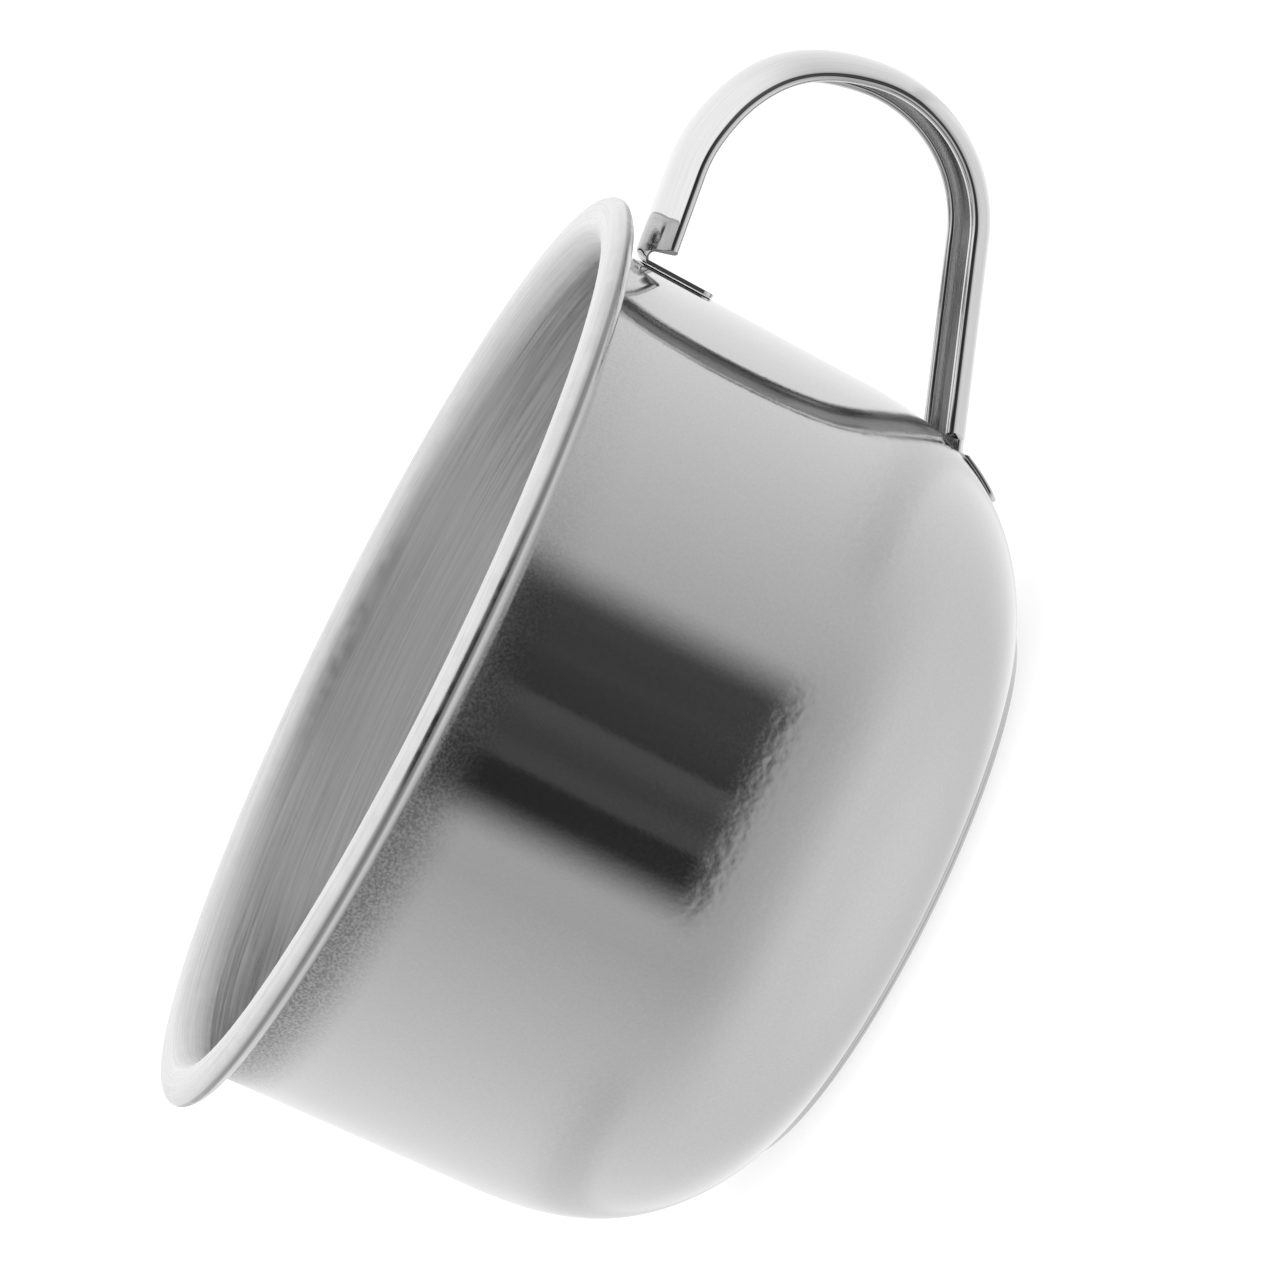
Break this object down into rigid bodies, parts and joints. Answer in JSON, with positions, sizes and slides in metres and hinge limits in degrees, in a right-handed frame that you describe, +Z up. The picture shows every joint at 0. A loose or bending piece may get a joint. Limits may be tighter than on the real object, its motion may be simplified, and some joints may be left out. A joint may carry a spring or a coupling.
{
  "type": "shaving mug",
  "caption": "Round steel shaving mug: a deep-drawn bowl with a rolled lip and rounded shoulder, and a D-shaped finger loop welded to its side.",
  "frame": {"origin": "centre of the foot, on the surface that the mug stands on", "axes": "+Z up along the bowl's axis towards the mouth, +X from the axis towards the finger loop"},
  "size_m": [0.1238, 0.1, 0.0554],
  "materials": {
    "bowl_steel": "satin stainless steel, fine grain outside and circular brushing inside",
    "loop_steel": "mirror-polished stainless steel"
  },
  "bodies": {
    "root": {"bowl": "bowl_steel", "finger_loop": "loop_steel"}
  },
  "joints": []
}
